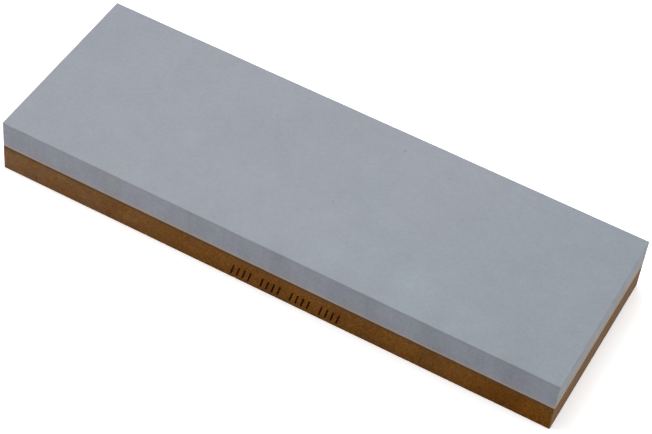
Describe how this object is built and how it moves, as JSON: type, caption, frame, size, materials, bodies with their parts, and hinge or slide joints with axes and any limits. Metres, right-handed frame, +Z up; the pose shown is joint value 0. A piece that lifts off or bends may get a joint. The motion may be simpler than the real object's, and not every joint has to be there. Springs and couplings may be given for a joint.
{
  "type": "sharpening whetstone",
  "caption": "Flat rectangular bench whetstone, a fine blue-grey abrasive slab bonded over a coarse orange-brown one, for sharpening carving and whittling blades.",
  "frame": {"origin": "centre of the underside, the coarse working face that the stone rests on", "axes": "+X along the length, +Y across the width, +Z up out of the fine working face"},
  "size_m": [0.2032, 0.0698, 0.0215],
  "materials": {
    "coarse_abrasive": "matte",
    "bond_adhesive": "satin",
    "fine_abrasive": "matte"
  },
  "bodies": {
    "root": {"coarse_slab": "coarse_abrasive", "bond_layer": "bond_adhesive", "fine_slab": "fine_abrasive"}
  },
  "joints": []
}
